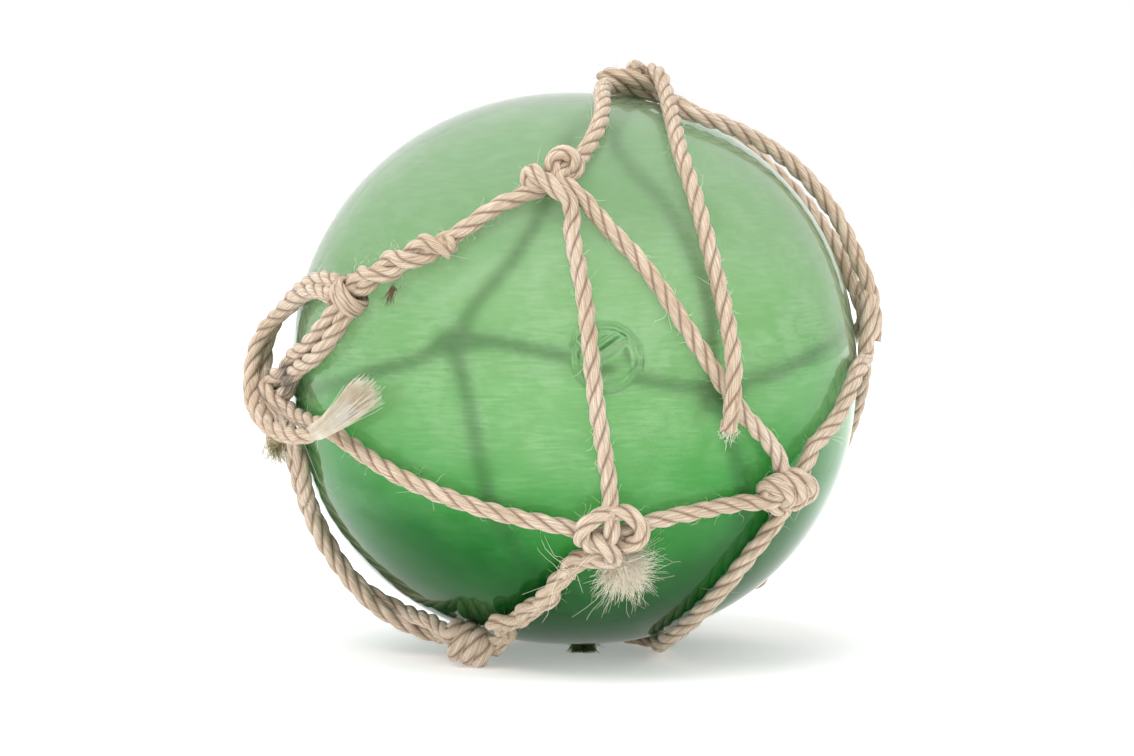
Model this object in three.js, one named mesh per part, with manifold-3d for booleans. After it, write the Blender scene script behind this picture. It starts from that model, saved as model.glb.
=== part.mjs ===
// A blown glass fishing float in its knotted rope net, resting on the net.
// Millimetres, +Z up, front towards -Y. The origin is on the floor, under the middle of the ball.
import * as THREE from 'three';
import { mergeVertices } from 'three/addons/utils/BufferGeometryUtils.js';
import Module from 'manifold-3d';

const wasm = await Module();
wasm.setup();

// ---- driving dimensions ----
const BALL_RADIUS = 150;        // a twelve inch float, measured across
const BALL_HALF_HEIGHT = 146;   // it slumped a little before the glass set
const FULLNESS_ABOVE = 2.06;    // exponent of the profile: 2 is an ellipse, more is fuller
const FULLNESS_BELOW = 2.16;
const BALL_MIDDLE = 150.5;      // height of the ball's middle, lifted off the floor by the net
const BALL_SEGMENTS = 30;
const BALL_ROWS = 15;

const ROPE = 4.5;               // radius of the three-strand rope
const GAP = 0.3;                // clearance between neighbouring solids
const OVERLAP = 0.002;          // cubic millimetres, less than this is only a touch
const ROPE_SIDES = 6;
const KNOT_SIDES = 5;
const ROPE_STEP = 24;           // length of one facet along a rope, and along a knot's turns
const KNOT_STEP = 11;
const KNOT_DETAIL = 1;        // a knot's facets are merged where that moves them less than this
const TRIM = 0.3;               // and every piece's after it is cut

const SEAL = { lon: 6, lat: 5.5, radius: 15, ridge: 3.2, stands: 1.4 };

// ---- where the knots sit: longitude (0 in front, 90 on the right) and latitude in degrees,
// and how far the knot's own axes are turned about the outward direction ----
const knots = {
  top_knot: { lon: 88, lat: 78, turn: -88 },
  shoulder_knot: { lon: -4, lat: 41, turn: 0 },
  right_knot: { lon: 86, lat: 11, turn: 0 },
  left_knot: { lon: -80, lat: -4, turn: 0 },
  front_knot: { lon: 6.5, lat: -28.5, turn: 0 },
  right_front_knot: { lon: 45, lat: -20, turn: 0 },
  foot_knot: { lon: -41, lat: -59, turn: -38 },
  under_knot: { lon: -165, lat: -66, turn: 0 },
  back_left_knot: { lon: -154.5, lat: 2, turn: 0 },
  back_right_knot: { lon: 147, lat: -10, turn: 0 },
  back_low_knot: { lon: 120, lat: -46, turn: 0 },
};

// ---- the ball's surface ----
const middle = new THREE.Vector3(0, 0, BALL_MIDDLE);
const rad = THREE.MathUtils.degToRad;

// Distance from the ball's middle to its surface along a unit direction.
function surfaceRadius(direction) {
  const level = Math.hypot(direction.x, direction.y);
  const power = direction.z >= 0 ? FULLNESS_ABOVE : FULLNESS_BELOW;
  return ((level / BALL_RADIUS) ** power + (Math.abs(direction.z) / BALL_HALF_HEIGHT) ** power) ** (-1 / power);
}

const outward = (lon, lat) => new THREE.Vector3(
  Math.cos(rad(lat)) * Math.sin(rad(lon)), -Math.cos(rad(lat)) * Math.cos(rad(lon)), Math.sin(rad(lat)));

// A point of a rope's middle line: a direction from the ball's middle, and how far
// the rope is lifted off the glass (0 where it lies on it).
const onGlass = ([lon, lat, lift = 0]) => ({ direction: outward(lon, lat), lift });

// The same, given in millimetres across, up and out from a knot's seat on the glass.
function atKnot(name, [across, up, lift]) {
  const { lon, lat, turn } = knots[name];
  const out = outward(lon, lat);
  const east = new THREE.Vector3(Math.cos(rad(lon)), Math.sin(rad(lon)), 0);
  east.applyAxisAngle(out, rad(turn));
  const north = new THREE.Vector3().crossVectors(out, east);
  const direction = out.clone().multiplyScalar(BALL_RADIUS)
    .addScaledVector(east, across).addScaledVector(north, up).normalize();
  return { direction, lift };
}

const inSpace = ({ direction, lift }) => middle.clone()
  .addScaledVector(direction, surfaceRadius(direction) + ROPE + GAP + lift);

// ---- the ropes: each is a list of stretches, and each stretch is the node that it belongs to
// and the points that it passes. In a knot they are across, up and lift; elsewhere they are
// longitude, latitude and lift. ----

// One rope passing straight through a plain knot, from the direction `into` to `onto` (degrees
// from across towards up).
function through(into, onto) {
  const arm = (angle, reach, lift) => [reach * Math.cos(rad(angle)), reach * Math.sin(rad(angle)), lift];
  return [arm(into, 20, 0), arm(into, 10, 2), [0, 0, 4.5], arm(onto, 10, 2), arm(onto, 20, 0)];
}

// The other rope of a plain knot: it goes under the first, round it once, under again and away.
function roundTurn(into, onto, along) {
  const side = Math.sin(rad(into - along)) > 0 ? 1 : -1;
  const arm = (angle) => [20 * Math.cos(rad(angle)), 20 * Math.sin(rad(angle)), 0];
  const at = (reach, shift, lift) => [
    -side * reach * Math.sin(rad(along)) + shift * Math.cos(rad(along)),
    side * reach * Math.cos(rad(along)) + shift * Math.sin(rad(along)), lift];
  return [arm(into), at(9, -3, 0), at(-8, -4, 4), at(-1, -2, 11), at(8, 1, 5), at(1, 5, 0), at(-10, 4, 0), arm(onto)];
}

// The turns of the foot knot, wound round its own core from left to right.
function footTurns(turns, from, to, radius) {
  const points = [];
  const perTurn = 6;
  for (let i = 0; i <= turns * perTurn; i += 1) {
    const angle = 2 * Math.PI * i / perTurn;
    const across = from + (to - from) * i / (turns * perTurn);
    points.push([across, radius * Math.cos(angle), radius + radius * Math.sin(angle)]);
  }
  return points;
}

const ropes = [
  // The first long rope, from its cut end at the right knot.
  [
    ['right_knot', [[-2, -14, 6], [-2, -8, 9], [-1, -2, 9.5], [0, 6, 9], [0, 14, 8], [-1, 24, 7]]],
    ['rope_top_to_right', [[86.5, 31, 5.5], [85, 43, 4], [73, 54, 1.5], [55, 63, 0.5]]],
    ['top_knot', [[14, -4, 0], [6, -3, 0], [-2, -3, 0], [-9, -9, 0], [-15, -18, 0]]],
    ['rope_top_to_shoulder', [[10, 59.5]]],
    ['shoulder_knot', [[17, 21, 0], [11, 12, 2], [9, 4, 4], [10, -4, 3], [18, -16, 0]]],
    ['rope_shoulder_to_right_front', [[13.5, 23.5], [24, 7], [32.5, -4.5]]],
    ['right_front_knot', [[-9, 20, 0], [-3, 10, 2], [2, 1, 0], [9, -6, 3], [13, 0, 9], [8, 6, 10], [2, 8, 5],
      [2, 1, 0], [6, -6, 5], [4, 1, 11], [-2, 6, 9], [-6, 7, 4], [-5, 0, 0], [0, -5, 5], [-4, 1, 10],
      [-10, 4, 7], [-12, 3, 2], [-9, -4, 0], [-3, -9, 2], [5, -10, 2], [4, -21, 0]]],
    ['rope_right_front_to_under', [[43, -36], [41, -51], [47, -66, 0.5], [88, -73, 0], [150, -75, 0]]],
    ['under_knot', [[-7, -15, 0], [-3, -7, 4], [0, 0, 5.5], [1, 9, 3], [0, 20, 0]]],
    ['rope_back_left_to_under', [[-158, -36], [-156.5, -15]]],
    ['back_left_knot', through(-93, 112)],
    ['rope_top_to_back_left', [[-165.5, 19.5], [-171, 31], [-178, 55]]],
    ['top_knot', [[-6, 24, 0], [1, 13, 0], [8, 2, 2], [6, -7, 4], [-1, -11, 5.5], [-10, -9, 6], [-16, -2, 4],
      [-13, 6, 3], [-4, 12, 2], [4, 24, 0]]],
    ['rope_top_to_back_right', [[165, 55], [155, 34], [150, 15]]],
    ['back_right_knot', through(85, -120)],
    ['rope_back_right_to_back_low', [[135, -28]]],
    ['back_low_knot', through(50, -45)],
    ['rope_back_low_to_under', [[150, -63]]],
    ['under_knot', [[-20, -3, 0], [-10, 2, 0], [-1, 3, 0], [7, -4, 0], [14, -12, 0]]],
    ['rope_foot_to_under', [[-130, -73], [-95, -73], [-62, -66]]],
    ['foot_knot', [[-2, -18, 1], ...footTurns(3, 9, -9, 7), [-15, -2, 4], [-24, -12, 1]]],
    ['rope_left_to_foot_inner', [[-77, -53, 2], [-80, -45, 5], [-82, -30, 1.5], [-73, -17, 0]]],
    ['left_knot', [[10, -20, 0], [9, -9, 3], [1, -6, 5], [-5, 2, 7], [3, 8, 5], [13, 11, 2], [23, 19, 0]]],
    ['rope_left_pair_upper', [[-62, 6.5], [-53, 13.5]]],
    ['left_seizing', [[-50.5, 16]]],
    ['left_splice', [[-46, 20, 3], [-42, 20, 5], [-38.5, 21, 1], [-35, 25, 1], [-31.5, 26.5, 5], [-28.5, 26, 4],
      [-25.5, 25.5, 0]]],
  ],
  // The second long rope, from the seizing to the splice and round the front.
  [
    ['left_splice', [[-49, 17.5, 0], [-45.5, 18, 0], [-42, 21.5, 1], [-38.5, 23.5, 4], [-35, 23, 4],
      [-31.5, 24.5, 0], [-28.5, 27.5, 0], [-25, 29.5, 0]]],
    ['rope_shoulder_to_splice', [[-17, 35.5]]],
    ['shoulder_knot', [[-24, -11, 0], [-14, -6, 0], [-4, -1, 0], [6, 2, 0], [13, 8, 4], [8, 12, 9], [1, 12, 11],
      [-4, 7, 8], [-6, 1, 3], [-13, -1, 3], [-16, 4, 6], [-10, 5, 9], [-3, -1, 10], [4, -7, 9], [8, -13, 5],
      [7, -22, 0]]],
    ['rope_shoulder_to_front', [[2, 16.5], [3, 7, 1.8], [4, -2, 0]]],
    ['front_knot', [[1, 24, 0], [1, 14, 3], [2, 6, 7], [1, 2, 5], [-6, 3, 5], [-2, 1, 9], [3, -4, 9], [3, -9, 6],
      [-4, -12, 2], [-14, -13, 0]]],
    ['front_splice', [[-2, -37.5, 0], [-7, -42, 2], [-11, -47.5, 0], [-17, -50, 2], [-24, -54.5, 0]]],
    ['foot_knot', [[19, 15, 0], [13, 7, 3], [5, 1, 6], [-6, 0, 7], [-14, -4, 5], [-19, -16, 2]]],
    ['rope_left_to_foot', [[-68, -61.5, 4], [-76, -50, 8], [-81, -38, 5.5], [-80, -20, 1]]],
    ['left_knot', [[1, -24, 0], [-2, -13, 2], [-9, -8, 3], [-10, 1, 6], [-2, 3, 9], [7, -3, 6], [17, -7, 1],
      [28, -10, 0]]],
    ['rope_left_to_front', [[-54, -9.5], [-36, -17], [-21, -22]]],
    ['front_knot', [[-24, 6, 0], [-13, 4, 0], [-4, 2, 0], [6, 2, 0], [14, 5, 0], [24, 8, 0]]],
    ['rope_front_to_right_front', [[26, -23.5]]],
    ['right_front_knot', [[-22, -7, 0], [-12, -6, 2], [-4, -2, 5], [6, 4, 5], [14, 11, 2], [21, 19, 0]]],
    ['rope_right_to_right_front', [[60.5, -8], [72, 1]]],
    ['right_knot', [[-12, -22, 0], [-7, -13, 1], [-5, -4, 3], [-3, 5, 5], [3, 9, 5], [7, 4, 3], [6, -5, 1],
      [14, -8, 0], [24, -9, 0]]],
    ['rope_back_right_to_right', [[104, 5], [130, -3]]],
    ['back_right_knot', roundTurn(150, 15, 105)],
    ['rope_back_left_to_back_right', [[-179, -2]]],
    ['back_left_knot', roundTurn(180, -20, 80)],
    ['rope_left_to_back_left', [[-132, -4], [-105, -5.5]]],
    ['left_knot', [[-22, 0, 0], [-10, 0, 1], [0, -1, 1], [10, 0, 1], [20, 6, 0], [30, 12, 0]]],
    ['rope_left_pair_lower', [[-58, 4.5], [-51.5, 10]]],
    ['left_seizing', [[-48, 15]]],
  ],
  // The short rope that ties the right side to the back.
  [
    ['top_knot', [[-2, -11, 10], [-1, -3, 11], [5, 6, 7], [13, 14, 0], [22, 20, 0]]],
    ['rope_top_to_right_back', [[112, 55], [100, 35]]],
    ['right_knot', [[14, 24, 0], [9, 14, 1], [4, 4, 1], [8, -12, 2], [13, -24, 0]]],
    ['rope_right_to_back_low', [[104, -16]]],
    ['back_low_knot', roundTurn(112, 2, 90)],
  ],
  // The rope that ends in the tuft under the front knot.
  [
    ['front_knot', [[-1, -8, 1], [-8, -7, 2], [-12, -1, 5], [-10, 6, 7], [-4, 11, 5], [3, 13, 3], [10, 12, 5],
      [16, 6, 7], [17, -1, 8], [11, -6, 6], [3, -5, 2], [-5, -8, 1], [-16, -19, 0]]],
    ['front_splice', [[-5, -39.5, 1.5], [-6, -44, 0], [-13, -46, 2.5], [-16, -51.5, 0], [-25, -52, 2]]],
    ['foot_knot', [[15, 19, 0], [16, 8, 2], [12, -3, 6]]],
  ],
  // The doubled rope behind the loop, which ends frayed behind the left knot.
  [
    ['rope_behind_loop', [[-53, 18.5, 1], [-62, 20, 0], [-71, 18], [-81, 13], [-90, 5]]],
    ['left_knot', [[-19, 10, 0], [-11, 4, 4], [-7, -4, 8], [-6, -14, 8], [-3, -24, 7]]],
  ],
];

// The free ends of rope, which only hang or lie. Longitude, latitude and lift.
const freeEnds = {
  hanging_tail: [[88, 75.5, 11], [72, 73, 10], [57, 68.5, 4], [43, 61.5, 0.8], [35.5, 54.5, 0], [31.5, 47.5, 0],
    [30, 41, 0], [29.3, 34.5, 0], [29, 28, 0], [29, 21.5, 0.5], [29.2, 15, 2], [29.3, 10, 4.5], [29, 5.5, 8],
    [28.5, 1, 10.5], [28, -3.5, 11], [27.6, -7.5, 10.5]],
  loop_tail: [[-54, 15.5, 1.5], [-59, 16.5, 0.5], [-65, 16.5, 0], [-71.5, 14.8, 0.5], [-77.5, 12, 3],
    [-82.5, 9, 8], [-85, 6, 12], [-85, 2.5, 15], [-83, -1.5, 16.5], [-78, -5.5, 17], [-71.5, -8.5, 15],
    [-65, -10, 12], [-58.5, -10, 10.5], [-52, -8.5, 10], [-46, -5.5, 9], [-41, -2, 7.5]],
};

// ---- curves ----

// A rope's middle line: a centripetal Catmull-Rom curve through its points, carried on the
// ball. One unit of u is the way from one point to the next.
function middleLine(points) {
  const knotsOf = (p) => [p.x, p.y, p.z];
  const rows = points.map((p) => [...knotsOf(inSpace({ ...p, lift: 0 })), p.lift]);
  const mirror = (a, b) => a.map((value, i) => 2 * value - b[i]);
  const all = [mirror(rows[0], rows[1]), ...rows, mirror(rows.at(-1), rows.at(-2))];
  const mix = (a, b, ta, tb, t) => a.map((value, i) => (value * (tb - t) + b[i] * (t - ta)) / (tb - ta));
  const distance = (a, b) => Math.sqrt(Math.hypot(...a.map((value, i) => value - b[i])));
  return (u) => {
    const i = Math.min(Math.max(Math.floor(u), 0), rows.length - 2);
    const [a, b, c, d] = all.slice(i, i + 4);
    const t1 = distance(a, b);
    const t2 = t1 + distance(b, c);
    const t3 = t2 + distance(c, d);
    const t = t1 + (u - i) * (t2 - t1);
    const [ab, bc, cd] = [mix(a, b, 0, t1, t), mix(b, c, t1, t2, t), mix(c, d, t2, t3, t)];
    const [x, y, z, lift] = mix(mix(ab, bc, 0, t2, t), mix(bc, cd, t1, t3, t), t1, t2, t);
    return inSpace({ direction: new THREE.Vector3(x, y, z).sub(middle).normalize(), lift });
  };
}

// The stretch of a middle line from u = from to u = to.
class Stretch extends THREE.Curve {
  constructor(line, from, to) {
    super();
    Object.assign(this, { line, from, to });
  }

  getPoint(t, target = new THREE.Vector3()) {
    return target.copy(this.line(this.from + t * (this.to - this.from)));
  }
}

// ---- solids ----
function solidOf(geometry) {
  geometry.deleteAttribute('normal');
  geometry.deleteAttribute('uv');
  const merged = mergeVertices(geometry, 1e-4);
  return new wasm.Manifold(new wasm.Mesh({
    numProp: 3,
    vertProperties: new Float32Array(merged.attributes.position.array),
    triVerts: new Uint32Array(merged.index.array),
  }));
}

function geometryOf(solid) {
  const mesh = solid.getMesh();
  const geometry = new THREE.BufferGeometry();
  geometry.setAttribute('position', new THREE.BufferAttribute(mesh.vertProperties, 3));
  geometry.setIndex(new THREE.BufferAttribute(mesh.triVerts, 1));
  return geometry;
}

const union = (solids) => solids.reduce((whole, solid) => whole.add(solid));

// The outer skin of the largest piece left after a cut: crumbs beyond a neighbour are dropped,
// and a space shut in between turns of rope is filled.
function largest(solid) {
  const { vertProperties, triVerts } = solid.getMesh();
  const home = Array.from({ length: vertProperties.length / 3 }, (_, i) => i);
  const find = (i) => {
    while (home[i] !== i) i = home[i] = home[home[i]];
    return i;
  };
  for (let i = 0; i < triVerts.length; i += 3) {
    home[find(triVerts[i + 1])] = find(triVerts[i]);
    home[find(triVerts[i + 2])] = find(triVerts[i]);
  }
  const skins = new Map();
  const corner = (i) => new THREE.Vector3().fromArray(vertProperties, 3 * triVerts[i]);
  for (let i = 0; i < triVerts.length; i += 3) {
    const key = find(triVerts[i]);
    if (!skins.has(key)) skins.set(key, { volume: 0, triangles: [] });
    const skin = skins.get(key);
    skin.volume += corner(i).dot(corner(i + 1).cross(corner(i + 2))) / 6;
    skin.triangles.push(...triVerts.subarray(i, i + 3));
  }
  const [best] = [...skins.values()].sort((a, b) => b.volume - a.volume);
  const geometry = new THREE.BufferGeometry();
  geometry.setAttribute('position', new THREE.BufferAttribute(vertProperties, 3));
  geometry.setIndex(best.triangles);
  return solidOf(geometry);
}

function tube(curve, radius, sides, step) {
  const section = new THREE.Shape();
  for (let i = 0; i < sides; i += 1) {
    const angle = 2 * Math.PI * i / sides;
    section[i ? 'lineTo' : 'moveTo'](radius * Math.cos(angle), radius * Math.sin(angle));
  }
  const steps = Math.max(2, Math.round(curve.getLength() / step));
  return solidOf(new THREE.ExtrudeGeometry(section, { steps, bevelEnabled: false, extrudePath: curve }));
}

// A box from two opposite corners.
function box(low, high) {
  const size = high.clone().sub(low);
  return solidOf(new THREE.BoxGeometry(size.x, size.y, size.z)
    .translate(...low.clone().add(high).multiplyScalar(0.5)));
}

// A bunch of frayed fibres: a squashed ball from `centre` in a knot's own axes.
function bunch(name, centre, [across, up, out]) {
  const seat = inSpace(atKnot(name, centre));
  const normal = seat.clone().sub(middle).normalize();
  const turn = new THREE.Quaternion().setFromUnitVectors(new THREE.Vector3(0, 0, 1), normal);
  return solidOf(new THREE.SphereGeometry(1, 8, 5).scale(across, up, out)
    .applyQuaternion(turn).translate(seat.x, seat.y, seat.z));
}

// The ball, its profile turned about the vertical, grown outwards by `grown`.
function ballSolid(grown) {
  const profile = [];
  for (let i = 0; i <= BALL_ROWS; i += 1) {
    const lat = -Math.PI / 2 + Math.PI * i / BALL_ROWS;
    const direction = new THREE.Vector3(Math.cos(lat), 0, Math.sin(lat));
    const reach = surfaceRadius(direction) + grown;
    const level = i % BALL_ROWS === 0 ? 0 : direction.x * reach;
    profile.push(new THREE.Vector2(level, direction.z * reach));
  }
  return solidOf(new THREE.LatheGeometry(profile, BALL_SEGMENTS)
    .rotateX(Math.PI / 2).translate(0, 0, BALL_MIDDLE));
}

// The glass seal that closed the ball: a ring with a folded ridge across it, fused on.
function sealSolid() {
  const out = outward(SEAL.lon, SEAL.lat);
  const seat = middle.clone().addScaledVector(out, surfaceRadius(out) + SEAL.stands - SEAL.ridge);
  const turn = new THREE.Quaternion().setFromUnitVectors(new THREE.Vector3(0, 0, 1), out);
  const place = (geometry) => solidOf(geometry.applyQuaternion(turn).translate(seat.x, seat.y, seat.z));
  const ring = place(new THREE.TorusGeometry(SEAL.radius, SEAL.ridge, 5, 14));
  const ridge = place(new THREE.CapsuleGeometry(SEAL.ridge * 1.3, SEAL.radius * 1.2, 2, 6)
    .rotateZ(rad(-50)).translate(SEAL.ridge, SEAL.ridge, 0));
  return ring.add(ridge);
}

// ---- the parts ----
const glassColour = 0x5fa86b;
const ropeColour = 0xcdb698;
const group = new THREE.Group();

function addPart(name, solid, color, roughness) {
  const mesh = new THREE.Mesh(geometryOf(solid), new THREE.MeshStandardMaterial({ color, roughness, metalness: 0 }));
  mesh.name = name;
  group.add(mesh);
}

// Every rope's stretches, by node: the curves that its solid is made of.
const stretches = new Map();
for (const rope of ropes) {
  const points = [];
  const spans = [];
  for (const [node, list] of rope) {
    const first = points.length;
    points.push(...list.map((point) => (node in knots ? atKnot(node, point) : onGlass(point))));
    spans.push({ node, first, last: points.length - 1 });
  }
  const line = middleLine(points);
  spans.forEach(({ node, first, last }, i) => {
    const inKnot = node in knots;
    const shy = (u, v) => GAP / line(u).distanceTo(line(v));
    const from = i === 0 || inKnot ? first : first - 1 + shy(first - 1, first);
    const to = i === spans.length - 1 || inKnot ? last : last + 1 - shy(last, last + 1);
    if (!stretches.has(node)) stretches.set(node, []);
    stretches.get(node).push({ line, from, to });
  });
}

const ball = ballSolid(0).add(sealSolid());
addPart('glass_ball', ball, glassColour, 0.12);

const placed = [{ grown: ballSolid(GAP + TRIM).add(sealSolid()), itself: ball }];
const below = box(new THREE.Vector3(-400, -400, -50), new THREE.Vector3(400, 400, 0));

// Cuts a solid clear of everything placed before it and of the floor, and places it.
function place(name, build, detail) {
  let solid = build(ROPE).simplify(detail);
  for (const { grown, itself } of [{ grown: below, itself: below }, ...placed]) {
    for (const cutter of [grown, itself]) {
      if (solid.intersect(itself).volume() > OVERLAP) solid = solid.subtract(cutter);
    }
  }
  solid = largest(solid.simplify(TRIM));
  placed.push({ grown: build(ROPE + GAP).simplify(detail), itself: solid });
  addPart(name, solid, ropeColour, 0.9);
}

// A knot: each of its strands in short overlapping lengths, so that no one length meets itself.
function knotSolid(name, radius) {
  const lengths = [];
  for (const { line, from, to } of stretches.get(name)) {
    for (let u = from; u < to; u += 3) {
      const end = Math.min(u + 3, to);
      lengths.push(tube(new Stretch(line, Math.max(from, u - 0.04), end), radius, KNOT_SIDES, KNOT_STEP));
    }
  }
  return union(lengths);
}

const extras = {
  front_knot: (radius) => bunch('front_knot', [9, -18, 1], [radius + 8.5, radius + 6.5, radius + 2]),
};

for (const name of Object.keys(knots)) {
  place(name, (radius) => {
    const knot = knotSolid(name, radius);
    return name in extras ? knot.add(extras[name](radius)) : knot;
  }, KNOT_DETAIL);
}

// The seizing binds the two ropes of the left pair together under the splice.
const seizing = {
  from: onGlass([-51.5, 14.5, 1.5]),
  to: onGlass([-47, 18.5, 1.5]),
};
place('left_seizing', (radius) => {
  const line = middleLine([seizing.from, seizing.to]);
  return tube(new Stretch(line, 0, 1), radius + 5, ROPE_SIDES, KNOT_STEP);
}, 0);

for (const name of ['left_splice', 'front_splice']) {
  place(name, (radius) => union(stretches.get(name).map(({ line, from, to }) => (
    tube(new Stretch(line, from, to), radius, KNOT_SIDES, KNOT_STEP * 1.5)))), KNOT_DETAIL);
}

for (const [name, lines] of stretches) {
  if (!name.startsWith('rope_')) continue;
  place(name, (radius) => union(lines.map(({ line, from, to }) => (
    tube(new Stretch(line, from, to), radius, ROPE_SIDES, ROPE_STEP)))), 0);
}

// The flattened, frayed end of rope under the ball, which it also rests on.
place('frayed_end_under', (radius) => {
  const spread = radius - ROPE;
  return box(new THREE.Vector3(-4 - spread, -16 - spread, -1), new THREE.Vector3(13 + spread, 34, 8));
}, 0);

for (const [name, points] of Object.entries(freeEnds)) {
  place(name, (radius) => {
    const line = middleLine(points.map(onGlass));
    return tube(new Stretch(line, 0, points.length - 1), radius, ROPE_SIDES, ROPE_STEP);
  }, 0);
}

export default group;
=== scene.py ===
"""A blown glass fishing float in its knotted hemp net, lying on the net. Metres, +Z up, the front towards -Y.

Rope routes are written as in the part's source: longitude and latitude on the ball in degrees,
or millimetres in a knot's own axes, and the lift off the glass in millimetres.
"""

import bpy
import numpy as np
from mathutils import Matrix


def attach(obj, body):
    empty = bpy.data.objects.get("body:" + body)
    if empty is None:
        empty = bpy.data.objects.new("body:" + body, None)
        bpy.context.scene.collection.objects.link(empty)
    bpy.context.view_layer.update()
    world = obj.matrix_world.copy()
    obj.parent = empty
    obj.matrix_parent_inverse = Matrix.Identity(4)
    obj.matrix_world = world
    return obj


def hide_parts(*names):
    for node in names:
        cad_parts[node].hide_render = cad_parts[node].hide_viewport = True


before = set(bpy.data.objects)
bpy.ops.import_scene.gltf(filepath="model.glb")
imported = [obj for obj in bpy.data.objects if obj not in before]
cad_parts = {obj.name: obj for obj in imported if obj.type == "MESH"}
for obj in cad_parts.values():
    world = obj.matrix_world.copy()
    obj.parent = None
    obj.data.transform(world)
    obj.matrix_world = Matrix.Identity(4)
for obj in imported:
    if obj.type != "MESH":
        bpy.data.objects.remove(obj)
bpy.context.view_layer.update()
MM = 0.001

# ---- camera: two metres away, four degrees above the level of the ball's middle ----
camera_data = bpy.data.cameras.new("camera")
camera_data.lens = 119.45
camera_data.sensor_width = 36.0
camera_data.shift_x = -0.0062
camera_data.shift_y = -0.0088
camera = bpy.data.objects.new("camera", camera_data)
camera.location = (0.0, -1.9951, 0.2900)
camera.rotation_euler = (np.radians(86.0), 0.0, 0.0)
bpy.context.collection.objects.link(camera)
bpy.context.scene.camera = camera

# ---- the ball's outline, as in the part's source, in millimetres ----
BALL_RADIUS = 150.0
BALL_HALF_HEIGHT = 146.0
FULLNESS_ABOVE = 2.06
FULLNESS_BELOW = 2.16
MIDDLE = np.array([0.0, 0.0, 150.5])
ROPE = 4.5
GAP = 0.3

SEAL = {"lon": 6.0, "lat": 5.5}

KNOTS = {
    "top_knot": (88, 78, -88),
    "shoulder_knot": (-4, 41, 0),
    "right_knot": (86, 11, 0),
    "left_knot": (-80, -4, 0),
    "front_knot": (6.5, -28.5, 0),
    "right_front_knot": (45, -20, 0),
    "foot_knot": (-41, -59, -38),
    "under_knot": (-165, -66, 0),
    "back_left_knot": (-154.5, 2, 0),
    "back_right_knot": (147, -10, 0),
    "back_low_knot": (120, -46, 0),
}


def unit(vectors):
    """Each vector divided by its length."""
    return vectors / np.linalg.norm(vectors, axis=-1, keepdims=True)


def surface_radius(direction):
    """The ball's radius along unit directions.

    (level / radius)^n + (height / half height)^n = 1, solved for the distance.
    """
    level = np.hypot(direction[..., 0], direction[..., 1])
    power = np.where(direction[..., 2] >= 0, FULLNESS_ABOVE, FULLNESS_BELOW)
    return (
        (level / BALL_RADIUS) ** power
        + (np.abs(direction[..., 2]) / BALL_HALF_HEIGHT) ** power
    ) ** (-1 / power)


def outward(lon, lat):
    """The unit direction at a longitude (0 in front, 90 on the right) and a latitude, in degrees."""
    lon, lat = np.radians(lon), np.radians(lat)
    return np.stack(
        [np.cos(lat) * np.sin(lon), -np.cos(lat) * np.cos(lon), np.sin(lat)], -1
    )


def knot_axes(name):
    """A knot's outward, across and up directions: east and north there, turned about the outward one."""
    lon, lat, turn = KNOTS[name]
    out = outward(lon, lat)
    east = np.array([np.cos(np.radians(lon)), np.sin(np.radians(lon)), 0.0])
    north = np.cross(out, east)
    turn = np.radians(turn)
    across = np.cos(turn) * east + np.sin(turn) * north
    return out, across, np.cross(out, across)


def row_on_glass(lon, lat, lift=0.0):
    """A point of a rope's middle line, as its place on the ball's skin and its lift."""
    direction = outward(lon, lat)
    return [*(MIDDLE + direction * (surface_radius(direction) + ROPE + GAP)), lift]


def row_at_knot(name, across, up, lift):
    """The same, from millimetres across, up and out from the knot's seat on the glass."""
    out, east, north = knot_axes(name)
    direction = unit(out * BALL_RADIUS + east * across + north * up)
    return [*(MIDDLE + direction * (surface_radius(direction) + ROPE + GAP)), lift]


def through(into, onto):
    """A rope straight through a plain knot: along one arm, over the other rope, along the other."""
    arms = [(into, 20, 0), (into, 10, 2), (into, 0, 4.5), (onto, 10, 2), (onto, 20, 0)]
    return [
        (reach * np.cos(np.radians(a)), reach * np.sin(np.radians(a)), lift)
        for a, reach, lift in arms
    ]


def round_turn(into, onto, along):
    """The other rope of a plain knot: under the first, round it once, under it again and away."""
    side = 1 if np.sin(np.radians(into - along)) > 0 else -1
    c, s = np.cos(np.radians(along)), np.sin(np.radians(along))

    def arm(angle):
        return (20 * np.cos(np.radians(angle)), 20 * np.sin(np.radians(angle)), 0)

    def at(reach, shift, lift):
        return (-side * reach * s + shift * c, side * reach * c + shift * s, lift)

    return [
        arm(into),
        at(9, -3, 0),
        at(-8, -4, 4),
        at(-1, -2, 11),
        at(8, 1, 5),
        at(1, 5, 0),
        at(-10, 4, 0),
        arm(onto),
    ]


def foot_turns(turns, start, end, radius):
    """Turns round a core across the foot knot: a helix of that radius, its axis one radius off the glass."""
    per_turn = 6
    i = np.arange(turns * per_turn + 1)
    angle = 2 * np.pi * i / per_turn
    across = start + (end - start) * i / (turns * per_turn)
    return list(zip(across, radius * np.cos(angle), radius + radius * np.sin(angle)))


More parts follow.
